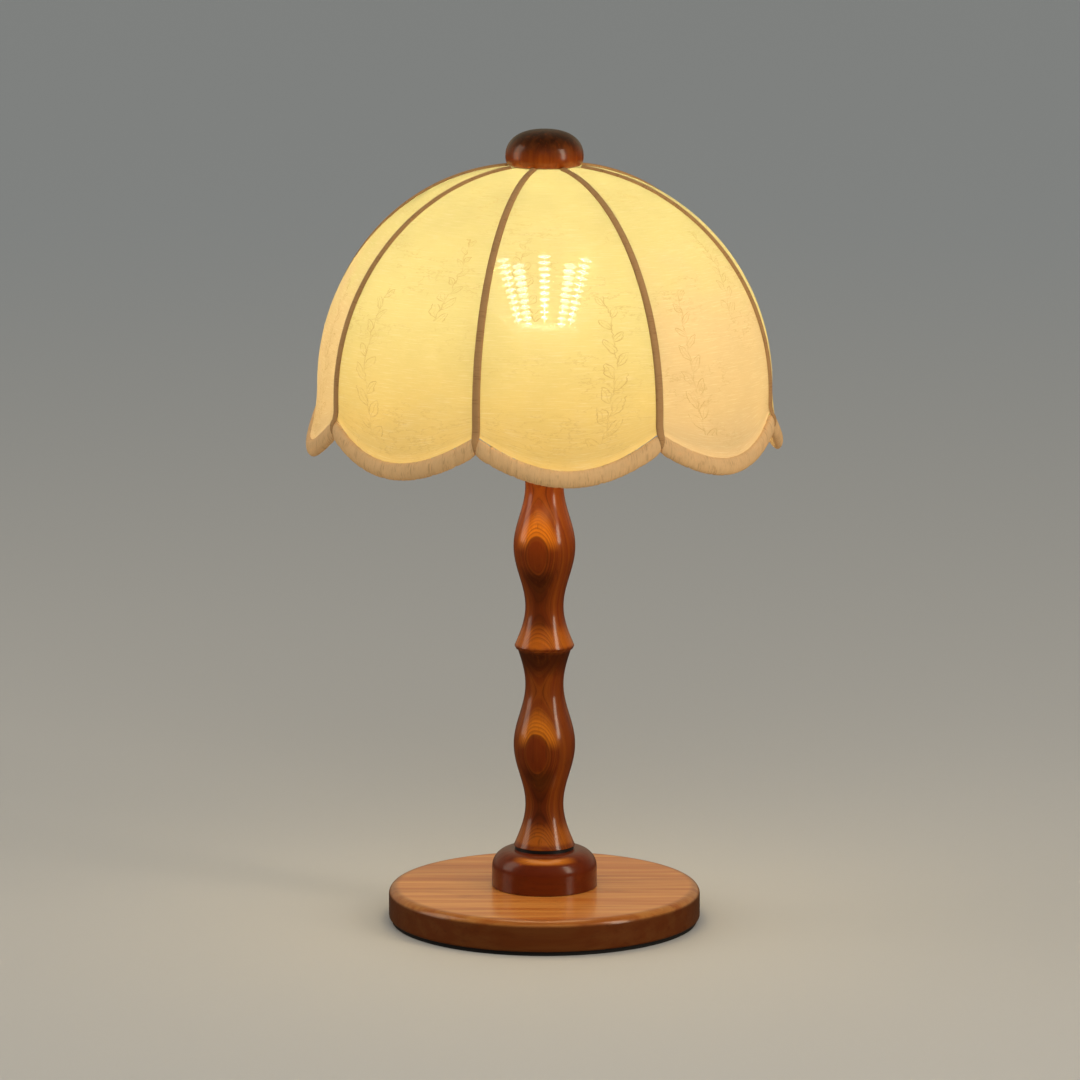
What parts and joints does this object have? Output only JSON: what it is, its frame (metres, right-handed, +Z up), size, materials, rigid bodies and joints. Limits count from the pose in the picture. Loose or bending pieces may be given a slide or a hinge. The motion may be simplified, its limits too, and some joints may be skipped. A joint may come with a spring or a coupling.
{
  "type": "table lamp",
  "caption": "Turned wooden table lamp with a round base, a scalloped domed fabric shade on a harp, a screw finial, a screw-in bulb and a key-switched lampholder.",
  "frame": {"origin": "middle of the pad's underside, on the surface that the lamp stands on", "axes": "+Z up along the stem, -Y towards the pictured front, +Y towards the cord inlet"},
  "size_m": [0.2994, 0.2994, 0.5046],
  "materials": {
    "base_wood": "satin varnish",
    "stem_wood": "gloss varnish",
    "finial_wood": "gloss varnish",
    "pad_black": "matt",
    "black_rubber": "matt",
    "steel": "brushed",
    "brass": "satin",
    "frame_steel": "white lacquer",
    "thread_metal": "satin",
    "black_plastic": "moulded",
    "white_plastic": "moulded",
    "lead_sleeve": "smooth",
    "fibre": "matt",
    "bulb_glass": "clear",
    "stem_glass": "clear",
    "filament": "lit",
    "shade_fabric": "slub weave",
    "piping_fabric": "woven",
    "binding_fabric": "woven"
  },
  "bodies": {
    "lamp": {"base_pad": "pad_black", "base_weight": "steel", "base_disc": "base_wood", "cord_grommet": "black_rubber", "terminal_block": "white_plastic", "block_screw": "steel", "collar": "stem_wood", "stem_washer": "black_rubber", "lower_stem": "stem_wood", "upper_stem": "stem_wood", "threaded_tube": "steel", "tube_washer": "steel", "tube_nut": "brass", "vase_cap": "brass", "inner_leads": "lead_sleeve", "harp_saddle": "brass", "harp_wire": "brass", "harp_ferrules": "brass", "socket_cap": "brass", "socket_shell": "brass", "socket_liner": "fibre", "socket_core": "black_plastic", "screw_shell": "thread_metal", "centre_contact": "brass"},
    "switch": {"switch_key": "black_plastic"},
    "bulb_lift": {"bulb_foot": "black_plastic"},
    "bulb": {"bulb_cap": "thread_metal", "bulb_globe": "bulb_glass", "bulb_stem": "stem_glass", "bulb_filaments": "filament"},
    "shade": {"top_plate": "brass", "shade_frame": "frame_steel", "shade_panel_1": "shade_fabric", "shade_panel_2": "shade_fabric", "shade_panel_3": "shade_fabric", "shade_panel_4": "shade_fabric", "shade_panel_5": "shade_fabric", "shade_panel_6": "shade_fabric", "shade_panel_7": "shade_fabric", "shade_panel_8": "shade_fabric", "rib_piping_1": "piping_fabric", "rib_piping_2": "piping_fabric", "rib_piping_3": "piping_fabric", "rib_piping_4": "piping_fabric", "rib_piping_5": "piping_fabric", "rib_piping_6": "piping_fabric", "rib_piping_7": "piping_fabric", "rib_piping_8": "piping_fabric", "hem_binding_1": "binding_fabric", "hem_binding_2": "binding_fabric", "hem_binding_3": "binding_fabric", "hem_binding_4": "binding_fabric", "hem_binding_5": "binding_fabric", "hem_binding_6": "binding_fabric", "hem_binding_7": "binding_fabric", "hem_binding_8": "binding_fabric"},
    "finial_lift": {"finial_insert": "brass"},
    "finial": {"finial_knob": "finial_wood"}
  },
  "joints": [
    {"name": "switch_turn", "type": "hinge", "parent": "lamp", "child": "switch", "pos_m": [0, -0.02, 0.3266], "axis": [0, -1, 0], "continuous": true},
    {"name": "bulb_rise", "type": "slide", "parent": "lamp", "child": "bulb_lift", "axis": [0, 0, 1], "range_m": [0, 0.0109]},
    {"name": "bulb_turn", "type": "hinge", "parent": "bulb_lift", "child": "bulb", "pos_m": [0, 0, 0.35], "axis": [0, 0, 1], "range_deg": [0, 1080]},
    {"name": "shade_turn", "type": "hinge", "parent": "lamp", "child": "shade", "pos_m": [0, 0, 0.479], "axis": [0, 0, 1], "continuous": true},
    {"name": "finial_rise", "type": "slide", "parent": "lamp", "child": "finial_lift", "axis": [0, 0, 1], "range_m": [0, 0.00601]},
    {"name": "finial_turn", "type": "hinge", "parent": "finial_lift", "child": "finial", "pos_m": [0, 0, 0.488], "axis": [0, 0, 1], "range_deg": [0, 2160]}
  ],
  "couplings": [
    {"joint": "bulb_rise", "follows": "bulb_turn", "m_per_rad": 0.00057757},
    {"joint": "finial_rise", "follows": "finial_turn", "m_per_rad": 0.00015915}
  ]
}
